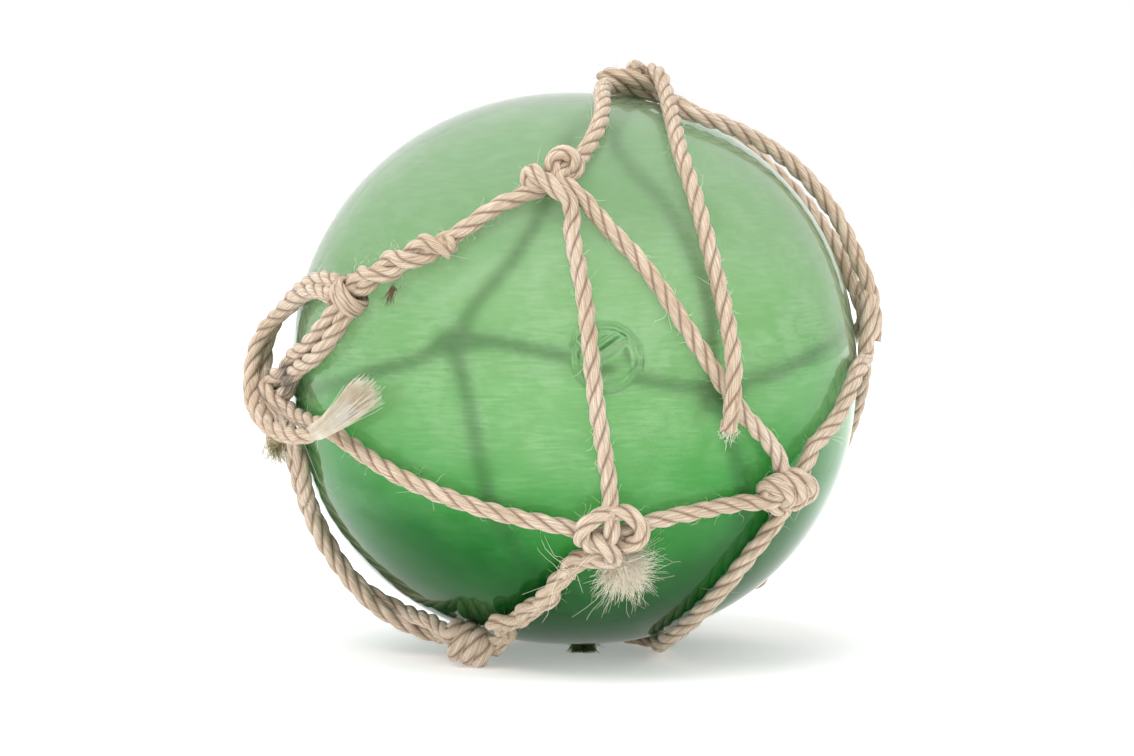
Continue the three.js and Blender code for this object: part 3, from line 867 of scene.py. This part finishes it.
# painted light: the fibres under the ball are coloured with the green light that comes through the glass
glass_lit_fibre = hemp_fibre("hemp fibres under the ball, green with algae", "#6f8f3c", "#b9c680")
glass_finish = green_glass("blown soda-lime glass, weathered outside", 0.02, 0.05)
glass_inside = green_glass("blown soda-lime glass, fire polished inside", 0.15, 0.0)


def finish_piece(piece, finish, nodes=()):
    """Gives a piece its material and its body, and hides the CAD nodes that it stands for."""
    piece.data.materials.append(finish)
    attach(piece, "root")
    if nodes:
        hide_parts(*nodes)
    return piece


# ---- the two free ends of rope ----
COMBED = 36 * MM  # the untwisted end of the loop
CORE_END = 0.5  # how thin the rope gets inside its brush, as a share of its radius


def free_end(name, node, rows, seed, combed=0.0):
    """A free end of rope, a cord along its whole line; it thins inside the brush of its combed length."""
    line = smooth_line([row_on_glass(*row) for row in rows], SPACING)
    left = along_line(line)[-1] - along_line(line)
    thinned = np.interp(left, [0, combed], [CORE_END, 1.0]) if combed else np.ones(len(left))
    piece = rope_piece(name, line, ROPE * MM * thinned[:, None], seed)
    finish_piece(piece, rope_finish, [node])
    return line


hanging_line = free_end("hanging_rope_end", "hanging_tail", HANGING_TAIL, 11)
loop_line = free_end("looped_rope_end", "loop_tail", LOOP_TAIL, 12, COMBED)

# ---- the net ----
lines = {"hanging": hanging_line, "looped": loop_line}
for number, (name, stretches) in enumerate(ROPES.items()):
    rows = [
        row_at_knot(node, *point) if node in KNOTS else row_on_glass(*point)
        for node, points in stretches
        for point in points
    ]
    lines[name] = smooth_line(rows, SPACING)
    nodes = sorted({node for node, _ in stretches})
    piece = rope_piece(name, lines[name], ROPE * MM, number + 1)
    finish_piece(piece, rope_finish, nodes)

LOOSE_PER_MM = 0.8
LOOSE_LENGTH = 9 * MM
LOOSE_RADIUS = 0.07 * MM
LOOSE_CURL = 0.35
for number, (name, line) in enumerate(lines.items()):
    roots, ways, lengths = fuzz_along(line, ROPE * MM, LOOSE_PER_MM, LOOSE_LENGTH, 40 + number)
    piece = fibres(f"{name}_loose_fibres", roots, ways, lengths, LOOSE_RADIUS, LOOSE_CURL, 60 + number)
    finish_piece(piece, pale_fibre)


# ---- frayed places ----
def combed_end():
    """The brush at the end of the loop: it starts 5 mm back inside the rope and runs 3 rings past it."""
    rings = int(round((COMBED + 5 * MM) / SPACING))
    line = loop_line[-rings:]
    past = line[-1] + (line[-1] - line[-3]) * [[1.0], [2.0], [3.0]]
    line = np.vstack([line, past])
    return brush(
        "combed_end_of_loop",
        line,
        start_radius=4.3 * MM,
        end_radius=9.0 * MM,
        count=1500,
        radius=0.24 * MM,
        seed=71,
    )


def at_knot(name, across, up, lift):
    """A place in metres from millimetres in a knot's own axes."""
    direction = unit(np.array(row_at_knot(name, across, up, 0)[:3]) - MIDDLE)
    return (MIDDLE + direction * (surface_radius(direction) + ROPE + GAP + lift)) * MM


def tuft(name, root, way, finish, seed, *, count, length, radius, spread, curl, root_size):
    """A fuzzy tuft: fibres from round a root, each along a way turned aside at random, and curling.

    Length, radius and root size are in millimetres.
    """
    rng = np.random.default_rng(seed)
    roots = root + rng.normal(0, root_size * MM, (count, 3))
    ways = unit(np.asarray(way, dtype=float)) + rng.normal(0, spread, (count, 3))
    lengths = length * MM * rng.uniform(0.35, 1.0, count)
    piece = fibres(name, roots, ways, lengths, radius * MM, curl, seed, steps=7)
    return finish_piece(piece, finish)


finish_piece(combed_end(), pale_fibre)

out, east, north = knot_axes("front_knot")
tuft(
    "tuft_under_front_knot", at_knot("front_knot", 6, -11, 2), 0.55 * east - 0.8 * north + 0.15 * out,
    pale_fibre, 72, count=1700, length=19, radius=0.16, spread=0.42, curl=0.45, root_size=3.0,
)
tuft(
    "tuft_root", at_knot("front_knot", 4, -10, 2), 0.5 * east - 0.8 * north + 0.2 * out,
    olive_fibre, 73, count=90, length=13, radius=0.2, spread=0.3, curl=0.25, root_size=1.2,
)
tuft(
    "curls_by_front_knot", at_knot("front_knot", -16, -17, 4), -0.6 * east + 0.5 * north + 0.3 * out,
    pale_fibre, 74, count=9, length=30, radius=0.2, spread=0.5, curl=0.9, root_size=2.0,
)
out, east, north = knot_axes("left_knot")
tuft(
    "old_end_of_left_knot", at_knot("left_knot", -3, -22, 7), -0.9 * north + 0.15 * east,
    yellow_fibre, 75, count=260, length=15, radius=0.18, spread=0.3, curl=0.3, root_size=2.4,
)
tuft(
    "hairs_under_loop_end", at_knot("left_knot", 34, -14, 9), 0.7 * east - 0.5 * north,
    pale_fibre, 76, count=18, length=30, radius=0.12, spread=0.5, curl=0.6, root_size=3.0,
)
tuft(
    "brown_shred_by_splice", np.array(row_on_glass(-37.6, 18.2)[:3]) * MM, [-0.4, -0.1, -1],
    brown_fibre, 77, count=26, length=11, radius=0.25, spread=0.22, curl=0.2, root_size=1.0,
)
last_way = hanging_line[-1] - hanging_line[-4]
tuft(
    "cut_hanging_end", hanging_line[-1] - unit(last_way) * 1 * MM, last_way,
    pale_fibre, 78, count=90, length=5, radius=0.16, spread=0.35, curl=0.2, root_size=2.2,
)


def seizing_turns():
    """Three turns of a strand round the ropes that meet at the left: a helix, flatter off the glass."""
    seat = np.array(row_on_glass(-49.5, 16.2, 1.5)[:3]) * MM
    out = outward(-49.5, 16.2)
    along = unit(np.array(row_on_glass(-46, 20)[:3]) - np.array(row_on_glass(-53, 12.5)[:3]))
    along = unit(along - out * (along @ out))
    points = 90
    strand_radius, wide, high = 2.4, 10.0, 7.0
    turn = 2 * np.pi * np.linspace(0, 3, points)[:, None]
    run = along * np.linspace(-4.5, 4.5, points)[:, None]
    round_it = np.cross(out, along) * wide * np.cos(turn) + out * high * np.sin(turn)
    return rope_piece("seizing_turns", seat + (run + round_it) * MM, strand_radius * MM, 31)


def strand_end():
    """The end of a strand that stands out below the left splice, rounded by r = sqrt(1 - t^4)."""
    rows = [row_on_glass(-28.5, 27.5, 1), row_on_glass(-26.8, 26.6, 1.5), row_on_glass(-25.0, 25.4, 1)]
    line = smooth_line(rows, 0.5 * MM)
    rounded = np.sqrt(np.clip(1 - np.linspace(-1, 0.99, len(line)) ** 4, 0.01, 1))
    knob_radius = 5.0 * MM
    return rope_piece("strand_end_by_splice", line, (knob_radius * rounded)[:, None], 32)


def frayed_end_under():
    """The flattened end of rope that the ball is bedded on, spreading towards the front."""
    line = np.linspace([4.0, 30.0, 2.6], [5.0, -19.0, 3.4], 40) * MM
    return brush(
        "frayed_end_under",
        line,
        start_radius=3.0 * MM,
        end_radius=9.0 * MM,
        count=700,
        radius=0.3 * MM,
        seed=79,
    )


finish_piece(seizing_turns(), rope_finish)
finish_piece(strand_end(), rope_finish)
# the frayed end under the ball takes the painted green light from the glass
finish_piece(frayed_end_under(), glass_lit_fibre, ["frayed_end_under"])

# ---- the glass ball ----
WALL = 4.5
EXTRA_WALL_BELOW = 2.5
OUTSIDE_WOBBLE = (0.25, 5)  # size in millimetres, seed
INSIDE_WOBBLE = (0.5, 6)
SEAL_REACH = 24  # nothing of the seal lies further from its middle, in millimetres
SEAL_RELIEF = 1.5  # its heights are all raised by this


def seal_height(x, y):
    """Height of the seal over the ball's skin, in millimetres, at x across and y up from its middle.

    A raised button and ring, an outer arc, a folded ridge across and a thin fold beside it, each
    a bell curve of the distance from its own line.
    """
    r = np.hypot(x, y)
    angle = np.degrees(np.arctan2(y, x))
    ring = 0.9 * np.exp(-(((r - 14.5) / 1.3) ** 2)) * (0.75 + 0.25 * np.cos(np.radians(angle - 200)))
    arc = 0.6 * np.exp(-(((r - 18.0) / 0.9) ** 2)) * (np.cos(np.radians(angle - 70)) > 0)
    button = 1.2 * np.clip(1 - (r / 15.5) ** 4, 0, None)
    slope = np.radians(35)
    along = x * np.cos(slope) + y * np.sin(slope)
    across = -x * np.sin(slope) + y * np.cos(slope)
    ridge = 2.2 * np.exp(-(((across - 4) / 2.2) ** 2)) * np.exp(-(((along - 4) / 10) ** 4))
    fold = 0.7 * np.exp(-(((across - 9) / 1.0) ** 2)) * np.exp(-(((along - 3) / 9) ** 4))
    return SEAL_RELIEF * (button + ring + arc + ridge + fold)


def wobble(direction, size, seed):
    """Slow unevenness of blown glass: a sum of a few sine waves over the sphere in random directions."""
    rng = np.random.default_rng(seed)
    total = np.zeros(direction.shape[:-1])
    for waves in (4, 7, 12, 20):
        for _ in range(3):
            axis = unit(rng.normal(size=3))
            total += np.sin(waves * (direction @ axis) + rng.random() * 6.28) / waves
    return total * size


def wall(direction):
    """The glass is thicker low down, where it ran before it set."""
    return WALL + EXTRA_WALL_BELOW * np.clip(-direction[..., 2], 0, 1) ** 2


def ball_rings(pole, angles, sides):
    """Unit directions on rings round a pole, ring by ring, and the two axes across the pole."""
    right = unit(np.cross([0.0, 0.0, 1.0], pole))
    up = np.cross(pole, right)
    turn = 2 * np.pi * np.arange(sides) / sides
    around = np.cos(turn)[:, None] * right + np.sin(turn)[:, None] * up
    rings = np.cos(angles)[:, None, None] * pole + np.sin(angles)[:, None, None] * around[None]
    return rings, right, up


def outer_skin(pole, ends):
    """The outside with the seal at its pole, in fine rings as far as the seal reaches."""
    edge = np.radians(8.5)
    near = edge * np.linspace(0, 1, 71)[1:]
    far = edge + (np.pi - edge) * np.linspace(0, 1, 131)[1:-1]
    angles = np.concatenate([near, far])
    sides = 240
    rings, right, up = ball_rings(pole, angles, sides)
    x, y = BALL_RADIUS * rings @ right, BALL_RADIUS * rings @ up
    on_seal = (rings @ pole > 0) & (np.hypot(x, y) < SEAL_REACH)
    reach = surface_radius(rings) + wobble(rings, *OUTSIDE_WOBBLE)
    reach = reach + np.where(on_seal, seal_height(x, y), 0.0)
    skin = MIDDLE + rings * reach[..., None]
    end_reach = surface_radius(ends) + wobble(ends, *OUTSIDE_WOBBLE) + [seal_height(0.0, 0.0), 0]
    points = np.concatenate([skin.reshape(-1, 3), MIDDLE + ends * end_reach[:, None]])
    return points, [faces[:, ::-1] for faces in tube_faces(len(angles), sides)]


def inner_skin(pole, ends, first):
    """The inside, one wall in from the outer skin and with its own unevenness."""
    angles = np.pi * np.linspace(0, 1, 91)[1:-1]
    sides = 160
    rings, _, _ = ball_rings(pole, angles, sides)
    reach = surface_radius(rings) - wall(rings) + wobble(rings, *INSIDE_WOBBLE)
    skin = MIDDLE + rings * reach[..., None]
    end_reach = surface_radius(ends) - wall(ends) + wobble(ends, *INSIDE_WOBBLE)
    points = np.concatenate([skin.reshape(-1, 3), MIDDLE + ends * end_reach[:, None]])
    return points, [*tube_faces(len(angles), sides, first)]


pole = outward(SEAL["lon"], SEAL["lat"])
ends = np.stack([pole, -pole])
outer_points, outer_faces = outer_skin(pole, ends)
inner_points, inner_faces = inner_skin(pole, ends, len(outer_points))
ball_points = np.concatenate([outer_points, inner_points]) * MM
ball = mesh_piece("glass_float", ball_points, outer_faces + inner_faces)
finish_piece(ball, glass_finish, ["glass_ball"])
ball.data.materials.append(glass_inside)
outer_count = sum(len(faces) for faces in outer_faces)
is_inside = np.arange(len(ball.data.polygons)) >= outer_count
ball.data.polygons.foreach_set("material_index", is_inside.astype(np.int32))

# ---- floor and light ----
FLOOR_CORNERS = [[-6, -6, 0], [6, -6, 0], [6, 8, 0], [-6, 8, 0]]
floor = mesh_piece("floor", np.array(FLOOR_CORNERS, dtype=float), [np.array([[0, 1, 2, 3]])])
paper, tree, out = material("white studio paper")
shader = add(
    tree,
    "ShaderNodeBsdfPrincipled",
    {
        "Base Color": (0.9, 0.9, 0.9, 1),
        "Roughness": 0.9,
        "Specular IOR Level": 0.1,
        "Emission Color": (1, 1, 1, 1),
        "Emission Strength": 0.3,
    },
)
tree.links.new(shader.outputs["BSDF"], out.inputs["Surface"])
floor.data.materials.append(paper)

world = bpy.data.worlds.new("studio")
world.use_nodes = True
background = world.node_tree.nodes["Background"]
background.inputs["Color"].default_value = (1, 1, 1, 1)
background.inputs["Strength"].default_value = 1.0
bpy.context.scene.world = world
sun = bpy.data.lights.new("soft overhead light", "SUN")
sun.energy = 1.6
sun.angle = np.radians(50)
sun_object = bpy.data.objects.new("soft overhead light", sun)
sun_object.rotation_euler = (np.radians(18), np.radians(-14), 0)
sun_object.visible_glossy = False
sun_object.visible_transmission = False
bpy.context.collection.objects.link(sun_object)

bpy.context.scene.view_settings.view_transform = "Standard"
